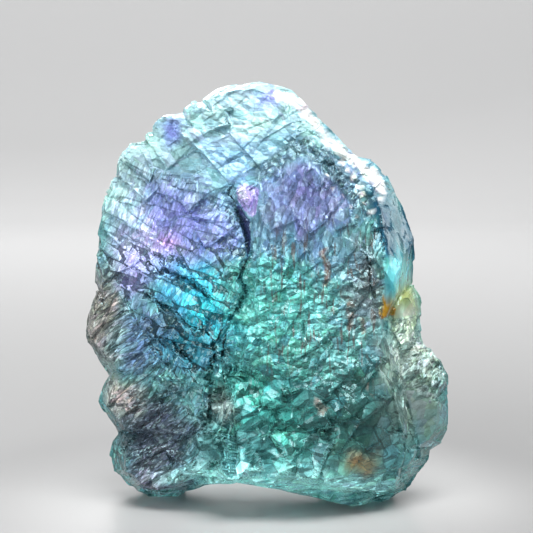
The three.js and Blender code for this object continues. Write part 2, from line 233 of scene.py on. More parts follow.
def where_etched(x, y, z, normal):
    """The share of each kind of etching at every point; the shares of a point add up to one."""
    behind = 1 - ramp(0.12, 0.4, -normal[:, 1])
    under_crest = np.interp(x, *BLOCK_CREST) - z
    wobble = BORDER_WOBBLE * smooth_noise(x / 1.1, y / 3, z / 1.3, 313)
    block = ramp(-0.2, 0.2, x - wobble - np.interp(z, *BLOCK_LEFT))
    block = block * ramp(-0.3, 0.3, np.interp(z, *BLOCK_RIGHT) - x)
    block = block * ramp(-0.3, 0.3, under_crest)
    crest = ramp(-0.5, 0.5, CREST_DEPTH - under_crest + 0.8 * smooth_noise(x, y, z, 311))
    right_side = ramp(RIGHT_SIDE - 0.5, RIGHT_SIDE + 0.5, x)
    crown = ramp(-1, 1, z + CROWN_TILT * x - CROWN_BASE)
    crown = crown * (1 - right_side * ramp(-1, 1, SHOULDER_TOP - z))
    ledge = ramp(-0.4, 0.4, LEDGE_TOP - z) * ramp(LEDGE_LEFT - 0.5, LEDGE_LEFT + 0.5, x)
    low = ramp(-1.5, 1.5, LOW_TOP - z - LOW_TILT * x)
    dark = ramp(-1.2, 1.2, x - DARK_LEFT - DARK_TILT * (z - DARK_MIDDLE)) * ramp(-2, 2, DARK_TOP - z)
    high = ramp(-1, 1, z - HIGH_BASE + 3 * smooth_noise(x / 1.1, y / 3, z / 6, 312))
    lump = ramp(-0.3, 0.3, LUMP_TOP - z)
    sugary = ramp(-1.2, 1.2, z - SUGAR_PLACE[1] + SUGAR_TILT * (x - SUGAR_PLACE[0]))
    margin = ramp(-1.5, 1.5, MARGIN_BASE - z - MARGIN_TILT * x)

    shares = {"behind": behind}
    left_over = 1 - behind

    def take(name, part):
        nonlocal left_over
        shares[name] = left_over * part
        left_over = left_over * (1 - part)

    take("ledges", ledge)
    take("crumbly", block * crest)
    take("striated", block * high)
    take("fractured", block * dark)
    take("roofs", block * low)
    take("parquet", block)
    take("crown", crown)
    take("sugar", right_side * lump * sugary)
    take("lump", right_side * lump)
    take("rim", right_side)
    take("brushed", margin)
    shares["scales"] = left_over
    return shares


# Open cracks on the front: half width, depth and (x, z) along each
CRACKS = {
    "between the blocks": (0.21, 0.7, (
        (-5.0, 47.4), (-5.3, 46.2), (-4.2, 43.9), (-2.9, 40.9), (-2.4, 37.2), (-3.9, 34.1), (-2.7, 32.6),
        (-4.1, 30.2), (-6.4, 26.4), (-7.7, 23.8), (-8.5, 19.8), (-8.1, 15.8), (-9.2, 12.0),
    )),
    "beside it": (0.12, 0.4, ((-5.7, 25.8), (-6.3, 22.5), (-5.9, 19.5))),
    "across the blue": (0.14, 0.4, ((-17.5, 36.0), (-14.6, 34.3), (-11.9, 34.1), (-8.3, 31.0))),
    "across the cyan": (0.14, 0.4, ((-18.5, 31.6), (-14.4, 29.6), (-10.5, 26.8), (-8.4, 26.2))),
    "low on the left": (0.12, 0.4, ((-15.8, 25.2), (-13.2, 24.2), (-11.2, 21.9))),
    "near the rim": (0.12, 0.4, ((13.9, 38.5), (14.9, 36.4), (15.3, 33.4), (16.4, 31.6))),
}


# How many half widths a crack's sides take to reach the face
CRACK_FADE = 1.8


def from_line(x, z, line):
    """How far each point is from a line through (x, z) points."""
    nearest = np.full(x.shape, np.inf)
    for (x0, z0), (x1, z1) in zip(line, line[1:]):
        length = (x1 - x0) ** 2 + (z1 - z0) ** 2
        along = np.clip(((x - x0) * (x1 - x0) + (z - z0) * (z1 - z0)) / length, 0, 1)
        away = np.hypot(x - x0 - along * (x1 - x0), z - z0 - along * (z1 - z0))
        nearest = np.minimum(nearest, away)
    return nearest


def strayed(x, y, z, seed):
    """How far a crack strays to one side at each point, in millimetres."""
    wide = smooth_noise(x / 1.3, y / 3, z / 1.3, seed)
    narrow = smooth_noise(x / 0.4, y, z / 0.4, seed + 2)
    return 0.5 * wide + 0.25 * narrow


def from_crack(x, y, z):
    """How far each point is from the nearest crack, in half widths of it, and how deep that crack is."""
    wobble_x = x + strayed(x, y, z, 301)
    wobble_z = z + strayed(x, y, z, 302)
    nearest = np.full(x.shape, np.inf)
    depth = np.zeros_like(x)
    for half_width, deep, line in CRACKS.values():
        away = from_line(wobble_x, wobble_z, line) / half_width
        depth = np.where(away < nearest, deep, depth)
        nearest = np.minimum(nearest, away)
    return nearest, depth


# A normal with this much of x or z looks to the side or up, and how far and how widely places are warped
FACING = 0.75
WARP, WARP_WIDTH = 0.45, 3.2


def surface_places(x, y, z, normal):
    """Where each point is on the surface, as seen square on to the side that it is on, a little warped."""
    across = np.where(np.abs(normal[:, 0]) > FACING, y, x)
    up = np.where(np.abs(normal[:, 2]) > FACING, y, z)
    wide = (x / WARP_WIDTH, y / WARP_WIDTH, z / WARP_WIDTH)
    return across + WARP * smooth_noise(*wide, 101), up + WARP * smooth_noise(*wide, 102)


def seed_of(name):
    """The seed of one kind of etching."""
    return FIRST_SEED + SEEDS_APART * list(ETCHING).index(name)


def etched_height(x, y, z, normal):
    """How far each point moves out, in millimetres."""
    across, up = surface_places(x, y, z, normal)
    shares = where_etched(x, y, z, normal)
    height = np.zeros_like(x)
    for name, (grain, shape, slope, *_) in ETCHING.items():
        here = shares[name] > 0.001
        raised, _ = figures(across[here], up[here], grain, shape, slope, seed_of(name))
        height[here] += shares[name][here] * raised
    away, depth = from_crack(x, y, z)
    return height - (1 - shares["behind"]) * depth * (1 - ramp(0.0, CRACK_FADE, away))


def mesh_arrays(mesh):
    """A mesh's points in millimetres and its point normals."""
    points = np.empty(len(mesh.vertices) * 3)
    normals = np.empty(len(mesh.vertices) * 3)
    mesh.vertices.foreach_get("co", points)
    mesh.vertices.foreach_get("normal", normals)
    return points.reshape(-1, 3) / MM, normals.reshape(-1, 3)


def apply_modifiers(piece):
    """The piece keeps the shape that its modifiers give it, and loses them."""
    bpy.context.view_layer.update()
    shaped = piece.evaluated_get(bpy.context.evaluated_depsgraph_get())
    mesh = bpy.data.meshes.new_from_object(shaped)
    piece.modifiers.clear()
    old = piece.data
    piece.data = mesh
    bpy.data.meshes.remove(old)


def drop_specks(mesh):
    """Removes every loose bit of the mesh, so that only its one large part stays."""
    shape = bmesh.new()
    shape.from_mesh(mesh)
    not_seen = set(shape.verts)
    parts = []
    while not_seen:
        first = not_seen.pop()
        part, edge_of_part = [first], [first]
        while edge_of_part:
            for edge in edge_of_part.pop().link_edges:
                for point in edge.verts:
                    if point in not_seen:
                        not_seen.remove(point)
                        part.append(point)
                        edge_of_part.append(point)
        parts.append(part)
    parts.sort(key=len)
    for part in parts[:-1]:
        bmesh.ops.delete(shape, geom=part, context="VERTS")
    shape.to_mesh(mesh)
    shape.free()


def keep_in_box(mesh):
    """No point of the mesh stays outside the solid's box."""
    points = np.empty(len(mesh.vertices) * 3)
    mesh.vertices.foreach_get("co", points)
    points = np.clip(points.reshape(-1, 3), cad_box[0], cad_box[1])
    mesh.vertices.foreach_set("co", points.ravel())
    mesh.update()


# The etching comes to full height this far above the surface that the stone stands on, in millimetres
UNTOUCHED = 1.2


def etched_stone():
    """The stone's solid, meshed finely and etched."""
    piece = bpy.data.objects.new("etched_crystal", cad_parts[NODE].data.copy())
    bpy.context.scene.collection.objects.link(piece)
    piece.data.materials.clear()
    remesh = piece.modifiers.new("fine", "REMESH")
    remesh.mode = "VOXEL"
    remesh.voxel_size = VOXEL
    apply_modifiers(piece)

    points, normals = mesh_arrays(piece.data)
    height = etched_height(*points.T, normals)
    resting = ramp(0.0, UNTOUCHED, points[:, 2])
    moved = points + normals * (height * resting)[:, None]
    piece.data.vertices.foreach_set("co", (moved * MM).ravel())
    keep_in_box(piece.data)

    faces = sum(len(polygon.vertices) - 2 for polygon in piece.data.polygons)
    thin = piece.modifiers.new("thin", "DECIMATE")
    thin.ratio = min(1.0, MOST_TRIANGLES / faces)
    apply_modifiers(piece)
    drop_specks(piece.data)
    keep_in_box(piece.data)
    piece.data.shade_smooth()
    piece.data.set_sharp_from_angle(angle=CREASE)
    return piece


# Colour zones, as name: (x, z), half width, half height, turn in degrees, colour as seen (sRGB), strength
ZONES = {
    "ground teal": ((0, 30), (60, 60), 0, (0.42, 0.68, 0.68), 1.0),
    "crown mint": ((-6, 57), (19, 9), 10, (0.70, 0.86, 0.88), 1.0),
    "crown steel": ((-3, 51), (10, 5), 0, (0.54, 0.72, 0.84), 0.9),
    "apex iris": ((0.4, 60.4), (2.4, 1.8), -20, (0.58, 0.58, 0.90), 0.85),
    "lobe iris": ((-14.4, 55.6), (1.8, 2.4), 0, (0.56, 0.60, 0.92), 0.85),
    "left lobes": ((-21.5, 49), (4, 7.5), -12, (0.82, 0.98, 0.96), 1.0),
    "left slate": ((-14.5, 46.5), (8, 4.5), -20, (0.53, 0.66, 0.73), 0.95),
    "left violet": ((-12.5, 41.0), (9.5, 5.5), -15, (0.58, 0.60, 0.88), 0.95),
    "left magenta": ((-15.5, 37), (5.4, 3.2), -30, (0.90, 0.74, 1.0), 0.95),
    # The left periwinkle is the stone's violet, lightened as painted light where the face turns away from the
    # lamps.
    "left periwinkle": ((-20, 36.5), (4.0, 6), 0, (0.80, 0.82, 1.0), 0.95),
    "left sky": ((-12, 32.5), (7, 4), -30, (0.40, 0.68, 0.88), 0.9),
    "left cyan": ((-8, 29.5), (6.5, 5), -35, (0.25, 0.84, 0.92), 1.0),
    "left dusk": ((-17, 24.5), (5.5, 5), 0, (0.42, 0.46, 0.62), 0.9),
    "left deep": ((-11, 23.5), (8, 4), -10, (0.16, 0.44, 0.52), 0.95),
    "slope under the rim": ((13.5, 48.5), (4.5, 3), -45, (0.48, 0.66, 0.76), 0.9),
    "block violet": ((6, 45.5), (9.5, 6), 0, (0.47, 0.49, 0.69), 0.95),
    "block blue": ((4.5, 38.5), (9, 3.5), 0, (0.38, 0.53, 0.65), 0.9),
    "block mint": ((0.5, 30), (7, 8), 8, (0.35, 0.69, 0.66), 1.0),
    "block low": ((0, 15.5), (9, 8), 0, (0.27, 0.60, 0.57), 1.0),
    "block dark": ((13.5, 15), (8.5, 11), 0, (0.21, 0.39, 0.38), 0.95),
    "block mauve": ((14, 33.5), (3, 7), 0, (0.42, 0.45, 0.47), 0.9),
    "shoulder steel": ((19.5, 42.0), (3.5, 7), 20, (0.13, 0.36, 0.45), 1.0),
    "shoulder aqua": ((18.8, 34.5), (2, 4), 5, (0.50, 0.97, 0.99), 1.0),
    "amber": ((17.6, 30.2), (1.6, 1.3), -35, (0.60, 0.50, 0.22), 0.8),
    "yellow": ((20.5, 29.5), (2.2, 4.5), 0, (0.67, 0.71, 0.42), 0.95),
    "lump top": ((21.5, 23), (5, 4), -30, (0.83, 0.91, 0.86), 1.0),
    "lump": ((22.5, 16), (4.5, 7), 0, (0.50, 0.59, 0.56), 1.0),
    "left margin": ((-25, 27.5), (3.6, 9.5), 0, (0.54, 0.53, 0.51), 1.0),
    "margin iris": ((-20.2, 34.4), (2.3, 4.2), 0, (0.74, 0.74, 1.0), 0.85),
    "beige patch": ((-21.0, 15.6), (3.4, 3.2), 0, (0.92, 0.88, 0.82), 1.0),
    "inner beige patch": ((-6.6, 15.8), (2.4, 2.4), 0, (0.56, 0.60, 0.58), 0.8),
    "low left": ((-15.5, 11), (8.5, 7), 0, (0.27, 0.30, 0.36), 1.0),
    "left foot": ((-16, 4.5), (5.5, 3), -10, (0.44, 0.36, 0.47), 0.9),
    "low middle": ((-5, 9.5), (7, 4), 10, (0.42, 0.70, 0.70), 0.9),
    # The ledge is the stone's turquoise raised near to white: painted light on an up-facing ledge that the
    # lamps light too little.
    "ledge": ((3, 4.8), (17, 2.5), -2, (0.72, 1.0, 0.98), 1.0),
    "rust": ((14, 7.8), (2.8, 1.8), 0, (0.62, 0.46, 0.30), 0.9),
}


# Colour that follows a line, as name: half width, colour as seen (sRGB), strength, (x, z) along it
BANDS = {
    # The white rim is a painted highlight: pure white along the lit upper right edge.
    "white rim painted highlight": (0.7, (1.0, 1.0, 1.0), 1.0, (
        (1.8, 61.2), (5.4, 59.2), (9.5, 54.0), (14.0, 50.3), (17.4, 47.0),
    )),
    "steel edge": (0.8, (0.13, 0.32, 0.42), 0.9, ((15.4, 47.2), (16.4, 44.8), (17.4, 42.0), (18.3, 38.6))),
    "crumbly crest": (1.5, (0.32, 0.45, 0.48), 0.8, (
        (-0.7, 50.0), (1.5, 51.2), (3.5, 52.6), (5.8, 53.8),
        (7.8, 52.2), (9.9, 50.2), (12.2, 47.8), (14.4, 45.0),
    )),
    "rust streak": (0.35, (0.55, 0.40, 0.30), 0.8, ((8.4, 38.2), (8.7, 36.0), (8.5, 33.8))),
    "second rust streak": (0.40, (0.50, 0.38, 0.32), 0.75, ((12.0, 31.4), (12.3, 29.6), (12.0, 27.4))),
    "third rust streak": (0.30, (0.50, 0.40, 0.34), 0.7, ((13.8, 28.6), (14.0, 26.8))),
    "beige fleck": (0.55, (0.66, 0.62, 0.58), 0.9, ((7.5, 17.2), (8.2, 16.2))),
    "second beige fleck": (0.45, (0.62, 0.60, 0.56), 0.85, ((15.0, 19.2), (15.4, 18.4))),
    "third beige fleck": (0.35, (0.60, 0.58, 0.54), 0.8, ((13.6, 13.6), (14.2, 13.0))),
}


# Chips between the blocks, as name: colour as seen (sRGB), strength, corners as (x, z)
CHIPS = {
    "lilac": ((0.80, 0.72, 0.98), 0.95, (
        (-4.2, 47.4), (-3.0, 47.9), (-1.0, 47.3), (-1.4, 43.9), (-2.3, 43.2), (-4.1, 45.3),
    )),
    "lilac light": ((0.95, 0.92, 1.0), 0.9, ((-4.0, 47.2), (-3.0, 47.6), (-2.6, 46.0), (-3.9, 45.7))),
    "amber": ((0.64, 0.45, 0.03), 0.95, (
        (16.7, 31.6), (17.4, 31.5), (18.2, 30.5), (19.2, 29.5),
        (18.9, 28.6), (16.5, 29.0), (16.3, 29.6), (17.1, 30.1),
    )),
    "indigo": ((0.20, 0.19, 0.42), 0.95, (
        (-4.6, 45.6), (-3.6, 44.4), (-2.3, 42.8), (-2.2, 39.9), (-2.6, 37.0), (-3.2, 39.9), (-3.9, 42.6),
    )),
}


# Painted highlights: white glints along the slope under the rim, as (x, z, radius)
PAINTED_GLINTS = (
    (11.2, 51.0, 0.55), (12.1, 49.9, 0.40), (13.0, 48.8, 0.50), (13.5, 47.5, 0.30), (14.2, 46.4, 0.45),
    (14.7, 45.1, 0.28), (15.5, 43.9, 0.38), (15.9, 49.6, 0.75), (17.2, 47.9, 0.55), (17.0, 45.6, 0.35),
    (10.0, 47.4, 0.22), (11.4, 46.1, 0.20), (12.6, 44.7, 0.22), (9.1, 49.1, 0.20), (13.4, 43.2, 0.18),
)


def linear(colour):
    """A colour as seen, from sRGB to linear."""
    colour = np.asarray(colour, float)
    return np.where(colour <= 0.04045, colour / 12.92, ((colour + 0.055) / 1.055) ** 2.4)


def inside(x, z, corners):
    """Which points lie inside an outline of (x, z) corners."""
    within = np.zeros(x.shape, bool)
    for (x0, z0), (x1, z1) in zip(corners, corners[1:] + corners[:1]):
        crosses = (z0 > z) != (z1 > z)
        within ^= crosses & (x < x0 + (z - z0) * (x1 - x0) / (z1 - z0 + 1e-9))
    return within


def wandered(x, y, z, seed):
    """How far the borders of the colours wander one way at each point, in millimetres."""
    return 2.0 * smooth_noise(x / 5, y / 9, z / 5, seed) + smooth_noise(x / 1.8, y / 4, z / 1.8, seed + 1)


def blended(colours, share, colour):
    """The colours with a share of another colour at each point."""
    return colours + share[:, None] * (colour - colours)


# Bands, chips and painted glints are on the front alone: how far back they start to fade and are gone, as y
FRONT_FADE = (4, 8)


def zone_colours(x, y, z):
    """The stone's own colour at each point, in linear light, with painted highlights on the white rim and the
    glints, and painted light on the ledge and the left periwinkle.
    """
    wander_x = wandered(x, y, z, 201)
    wander_z = wandered(x, y, z, 203)
    wander_z = wander_z + 2.0 * ramp(-4, -1, x) * smooth_noise(x / 0.8, y / 4, z / 7, 205)
    colours = np.zeros((len(x), 3))
    for (at_x, at_z), (half_u, half_v), degrees, colour, strength in ZONES.values():
        small = min(half_u, half_v, 4) / 4
        u, v = in_cells(x + small * wander_x - at_x, z + small * wander_z - at_z, (degrees, half_u, half_v))
        share = strength * (1 - ramp(0.3, 1.45, np.sqrt(u * u + v * v)))
        colours = blended(colours, share, linear(colour))
    near = 1 - ramp(*FRONT_FADE, y)
    for half_width, colour, strength, line in BANDS.values():
        away = from_line(x + 0.2 * wander_x, z + 0.2 * wander_z, line) / half_width
        share = strength * near * (1 - ramp(0.7, 1.2, away))
        colours = blended(colours, share, linear(colour))
    for colour, strength, corners in CHIPS.values():
        share = strength * near * inside(x + 0.1 * wander_x, z + 0.1 * wander_z, corners)
        colours = blended(colours, share, linear(colour))
    # Painted highlights: the glints are blended to white.
    for at_x, at_z, radius in PAINTED_GLINTS:
        share = near * (1 - ramp(0.6, 1.2, np.hypot(x + 0.1 * wander_x - at_x, z - at_z) / radius))
        colours = blended(colours, share, 1.0)
    return colours


# The streaky part of the block: where the streaks start and are full from the left and from below, where they
# end on the right, above and to the back, in millimetres
STREAKS_LEFT, STREAKS_RIGHT = (-3, 2), 17
STREAKS_BOTTOM, STREAKS_TOP = (17, 25), (38, 46)
STREAKS_BACK = (2, 5)


def streakiness(x, y, z):
    """How much of the block's fine dark upright streaks each point shows, from nought to one."""
    across = ramp(*STREAKS_LEFT, x) * ramp(-1, 1, STREAKS_RIGHT - x)
    upright = ramp(*STREAKS_BOTTOM, z) * (1 - ramp(*STREAKS_TOP, z))
    return across * upright * (1 - ramp(*STREAKS_BACK, y))


# How deep one cell of the finest facets is, front to back, in millimetres
FACET_DEPTH = 4


def facet_grain(mesh, kind, across, up, depth):
    """Where each face's corners are in the grain of its finest facets, so that no face spans two grains."""
    corner_points = np.empty(len(mesh.loops), int)
    corner_counts = np.empty(len(mesh.polygons), int)
    mesh.loops.foreach_get("vertex_index", corner_points)
    mesh.polygons.foreach_get("loop_total", corner_counts)
    first_corners = np.concatenate([[0], np.cumsum(corner_counts)[:-1]])
    corner_kinds = np.repeat(kind[corner_points[first_corners]], corner_counts)
    places = np.zeros((len(corner_points), 3))
    for index, (_, _, _, fine, *_) in enumerate(ETCHING.values()):
        here = corner_kinds == index
        points = corner_points[here]
        u, v = in_cells(across[points], up[points], fine)
        places[here] = np.stack([u + CELLS_APART * index, v, depth[points] / FACET_DEPTH], axis=1)
    return places


# Painted shade in creases grows fainter over these heights, by this share, and points further from a crack
# than this, in half widths of it, don't need to know how far
FAINTER_CREASES, FAINTER_BY = (37, 42), 0.5
FAR_FROM_CRACK = 20


def paint(piece):
    """Writes the stone's colour, its lines of painted shade and the grain of its finest facets on its mesh.
    """
    points, normals = mesh_arrays(piece.data)
    x, y, z = points.T
    shares = where_etched(x, y, z, normals)
    kind = np.argmax([shares[name] for name in ETCHING], axis=0)
    across, up = surface_places(x, y, z, normals)
    grain_places = facet_grain(piece.data, kind, across, up, y)
    contrast, rough, painted_crease_shade, line_width = np.zeros((4, len(x)))
    edge = np.ones(len(x))
    for index, (name, (large, shape, slope, _, *looks)) in enumerate(ETCHING.items()):
        here = kind == index
        _, edge[here] = figures(across[here], up[here], large, shape, slope, seed_of(name))
        for total, value in zip((contrast, rough, painted_crease_shade, line_width), looks):
            total += shares[name] * value
    painted_crease_shade = painted_crease_shade * (1 - FAINTER_BY * ramp(*FAINTER_CREASES, z))
    away, _ = from_crack(x, y, z)
    away = np.minimum(away + FAR_FROM_CRACK * shares["behind"], FAR_FROM_CRACK)

    colours = np.ones((len(x), 4))
    colours[:, :3] = zone_colours(x, y, z)
    layers = piece.data.attributes
    layers.new("streaky", "FLOAT", "POINT").data.foreach_set("value", streakiness(x, y, z))
    layers.new("zone", "FLOAT_COLOR", "POINT").data.foreach_set("color", colours.ravel())
    layers.new("grain", "FLOAT_VECTOR", "CORNER").data.foreach_set("vector", grain_places.ravel())
    for name, values in (
        ("finish", np.stack([contrast, rough, edge], axis=1)),
        ("lines", np.stack([away, painted_crease_shade, line_width], axis=1)),
    ):
        layers.new(name, "FLOAT_VECTOR", "POINT").data.foreach_set("vector", values.ravel())


def node(tree, kind, inputs=None, **settings):
    """A shader node with its settings and the values of its sockets."""
    made = tree.nodes.new(kind)
    for name, value in settings.items():
        setattr(made, name, value)
    for name, value in (inputs or {}).items():
        made.inputs[name].default_value = value
    return made


def maths(tree, operation, *values):
    """A number made from numbers and sockets."""
    made = node(tree, "ShaderNodeMath", operation=operation)
    for index, value in enumerate(values):
        if isinstance(value, (int, float)):
            made.inputs[index].default_value = value
        else:
            tree.links.new(value, made.inputs[index])
    return made.outputs[0]


def vector_maths(tree, operation, *values):
    """A vector, or for a dot product a number, made from vectors and sockets."""
    made = node(tree, "ShaderNodeVectorMath", operation=operation)
    for index, value in enumerate(values):
        socket = made.inputs["Scale"] if operation == "SCALE" and index == 1 else made.inputs[index]
        if isinstance(value, (int, float, tuple)):
            socket.default_value = value
        else:
            tree.links.new(value, socket)
    return made.outputs["Value"] if operation in ("DOT_PRODUCT", "LENGTH") else made.outputs["Vector"]


def split(tree, vector):
    """The three numbers of a vector."""
    made = node(tree, "ShaderNodeSeparateXYZ")
    tree.links.new(vector, made.inputs["Vector"])
    return made.outputs


def noise(tree, place, scale, detail, **inputs):
    """Smooth noise around a half, with this many features to the unit of its place."""
    made = node(tree, "ShaderNodeTexNoise", {"Scale": scale, "Detail": detail, **inputs})
    tree.links.new(place, made.inputs["Vector"])
    return made.outputs["Fac"]


def stored(tree, name, output):
    """What was stored on the mesh under a name."""
    return node(tree, "ShaderNodeAttribute", attribute_name=name).outputs[output]


def ranged(tree, value, start, end, low, high, **settings):
    """A number that goes from low to high while the value goes from start to end."""
    made = node(tree, "ShaderNodeMapRange", {
        "From Min": start, "From Max": end, "To Min": low, "To Max": high,
    }, **settings)
    tree.links.new(value, made.inputs["Value"])
    return made.outputs["Result"]


# How much lighter a facet is painted that looks left (painted light), how much darker one that looks down
# (painted shade), and how a cell's own random numbers count towards its tone
LEFT_FACET_PAINTED_LIGHT = 0.55
DOWN_FACET_PAINTED_SHADE = -0.45
OWN_TONE = (0.8, 0.2, 0)


def etch_facets(tree, places, scale):
    """Crisp three-sided facets: the way that each leans, its tone around nought with painted light and shade
    by the way it looks, its hue and its edges.
    """
    cells = node(tree, "ShaderNodeTexVoronoi", {"Scale": scale})
    tree.links.new(places, cells.inputs["Vector"])
    away = vector_maths(tree, "SUBTRACT", places, cells.outputs["Position"])
    down, left, right = (vector_maths(tree, "DOT_PRODUCT", away, (x, z, 0)) for x, z in WAYS)
    is_down = maths(tree, "GREATER_THAN", down, maths(tree, "MAXIMUM", left, right))
    is_left = maths(tree, "GREATER_THAN", left, maths(tree, "MAXIMUM", down, right))
    is_right = maths(tree, "SUBTRACT", 1.0, maths(tree, "ADD", is_down, is_left))
    lean = vector_maths(tree, "SCALE", (WAYS[0][0], 0, WAYS[0][1]), is_down)
    for share, (x, z) in ((is_left, WAYS[1]), (is_right, WAYS[2])):
        lean = vector_maths(tree, "ADD", lean, vector_maths(tree, "SCALE", (x, 0, z), share))
    colour = cells.outputs["Color"]
    hue = vector_maths(tree, "SUBTRACT", colour, (0.5, 0.5, 0.5))
    tone = maths(tree, "SUBTRACT", vector_maths(tree, "DOT_PRODUCT", colour, OWN_TONE), 0.5)
    # Painted light on facets that look left, painted shade on facets that look down.
    tone = maths(tree, "ADD", tone, maths(tree, "MULTIPLY", is_left, LEFT_FACET_PAINTED_LIGHT))
    tone = maths(tree, "ADD", tone, maths(tree, "MULTIPLY", is_down, DOWN_FACET_PAINTED_SHADE))
    edges = node(tree, "ShaderNodeTexVoronoi", {"Scale": scale}, feature="DISTANCE_TO_EDGE")
    tree.links.new(places, edges.inputs["Vector"])
    return lean, tone, hue, edges.outputs["Distance"]


def lined(tree, light, is_dark, is_bright, brightness, amount):
    """Painted shade and highlight: the light dimmed where it is dark and raised where it is bright, by an
    amount.
    """
    change = maths(tree, "SUBTRACT", maths(tree, "MULTIPLY", is_bright, brightness), is_dark)
    return maths(tree, "MULTIPLY", light, maths(tree, "ADD", 1.0, maths(tree, "MULTIPLY", change, amount)))


# How bright the painted highlight is just beside a crease
CREASE_PAINTED_HIGHLIGHT = 0.35


def creased(tree, distance, width, dark, light):
    """Painted shade dims the light in a crease, and a painted highlight raises it a little just beside it."""
    inside_it = maths(tree, "LESS_THAN", distance, width)
    near_it = maths(tree, "LESS_THAN", distance, maths(tree, "MULTIPLY", width, 2.0))
    beside_it = maths(tree, "SUBTRACT", near_it, inside_it)
    return lined(tree, light, inside_it, beside_it, CREASE_PAINTED_HIGHLIGHT, dark)


# Terrace lines: their features to the metre, how many steps the noise has, the share of a step that is
# painted shade, the share that is painted shade or painted highlight, and how bright that highlight is
TERRACES_PER_METRE = 300
TERRACE_STEPS = 16
TERRACE_PAINTED_SHADE = 0.17
TERRACE_SHADE_AND_HIGHLIGHT = 0.34
TERRACE_PAINTED_HIGHLIGHT = 0.9


def terraced(tree, place, amount, light):
    """The light with thin wavy terrace lines: a painted shade hairline with a painted highlight beside it."""
    height = noise(tree, place, TERRACES_PER_METRE, 5, Roughness=0.6)
    step = maths(tree, "FRACT", maths(tree, "MULTIPLY", height, TERRACE_STEPS))
    dark = maths(tree, "LESS_THAN", step, TERRACE_PAINTED_SHADE)
    bright = maths(tree, "SUBTRACT", maths(tree, "LESS_THAN", step, TERRACE_SHADE_AND_HIGHLIGHT), dark)
    return lined(tree, light, dark, bright, TERRACE_PAINTED_HIGHLIGHT, amount)


# Rusty streaks: features to the metre across, deep and up, the noise where one starts and is full, how well
# they cover and their colour
STREAKS_PER_METRE = (1900, 400, 260)
STREAK_EDGE = (0.56, 0.64)
STREAK_COVER = 0.75
RUST = (0.13, 0.085, 0.075)


def streaked(tree, colour, place):
    """The colour with thin rusty upright streaks where the stone is streaky."""
    where = stored(tree, "streaky", "Fac")
    drawn_out = vector_maths(tree, "MULTIPLY", place, STREAKS_PER_METRE)
    share = ranged(tree, noise(tree, drawn_out, 1.0, 2), *STREAK_EDGE, 0.0, 1.0)
    share = maths(tree, "MULTIPLY", share, maths(tree, "MULTIPLY", where, STREAK_COVER))
    kept = vector_maths(tree, "SCALE", colour, maths(tree, "SUBTRACT", 1.0, share))
    return vector_maths(tree, "ADD", kept, vector_maths(tree, "SCALE", RUST, share))


# The stone as a clear solid
GLASS = {
    "IOR": 1.434,
    "Transmission Weight": 0.5,
    "Specular IOR Level": 0.5,
    "Specular Tint": (0.62, 0.95, 1.0, 1.0),
}
ABSORPTION = {"Color": (0.55, 0.85, 0.88, 1), "Density": 18}

# Features to the metre of the patches where facets show well, of ragged edges and of wrinkles
PATCHES_PER_METRE = 260
WISPS_PER_METRE = 1400
WRINKLES_PER_METRE = 800

# Each step of tone multiplies the light by this much. The smaller facets have this many cells to one of the
# larger, and this share of their tone. Hue strays by this share.
TONE_STEP = 2.3
SMALLER = 2.1
SMALLER_TONE = 0.6
HUE_SPREAD = 0.2

# How far facets tilt the normal, how high wrinkles bump it and how strongly
LEAN = 0.30
SMALLER_LEAN = 0.16
WRINKLE_HEIGHT = 0.12 * MM
WRINKLE_BUMP = 0.55

# The light between wrinkles, how much painted highlight a wrinkle adds to it, and the highest that a wrinkle
# gets
WRINKLE_LIGHT = 0.88
WRINKLE_PAINTED_HIGHLIGHT = 0.70
WRINKLE_TOP = 1.6

# Painted shade in the creases of facets: their width in cells and their darkness as a share of a figure's
# painted crease shade; the most contrast that terrace lines follow and their share of it; and how dark the
# painted shade in cracks is and how wide, in half widths of the carved crack
FACET_CREASE = 0.035
FACET_CREASE_PAINTED_SHADE = 0.6
TERRACE_MOST = 0.8
TERRACE_SHARE = 0.55
CRACK_PAINTED_SHADE = 0.85
CRACK_REACH = 1.5


def scattered(tree, place, scale, detail, low, spread):
    """Noise that runs from low to low plus the spread."""
    return maths(tree, "ADD", low, maths(tree, "MULTIPLY", noise(tree, place, scale, detail), spread))


def wrinkles(tree, place):
    """How high the finest wrinkles are, from nought to their top."""
    made = node(tree, "ShaderNodeTexNoise", {
        "Scale": WRINKLES_PER_METRE, "Detail": 4, "Roughness": 0.6, "Distortion": 0.4,
    }, noise_type="RIDGED_MULTIFRACTAL")
    tree.links.new(place, made.inputs["Vector"])
    return maths(tree, "MINIMUM", made.outputs["Fac"], WRINKLE_TOP)


def etched_normal(tree, lean, smaller_lean, amount, wrinkle):
    """The normal tilted by both sizes of facet, and bumped by the wrinkles."""
    lean = vector_maths(tree, "SCALE", lean, LEAN)
    lean = vector_maths(tree, "ADD", lean, vector_maths(tree, "SCALE", smaller_lean, SMALLER_LEAN))
    lean = vector_maths(tree, "SCALE", lean, amount)
    straight = node(tree, "ShaderNodeNewGeometry").outputs["Normal"]
    tilted = vector_maths(tree, "NORMALIZE", vector_maths(tree, "ADD", straight, lean))
    bump = node(tree, "ShaderNodeBump", {"Strength": WRINKLE_BUMP, "Distance": WRINKLE_HEIGHT})
    tree.links.new(wrinkle, bump.inputs["Height"])
    tree.links.new(tilted, bump.inputs["Normal"])
    return bump.outputs["Normal"]


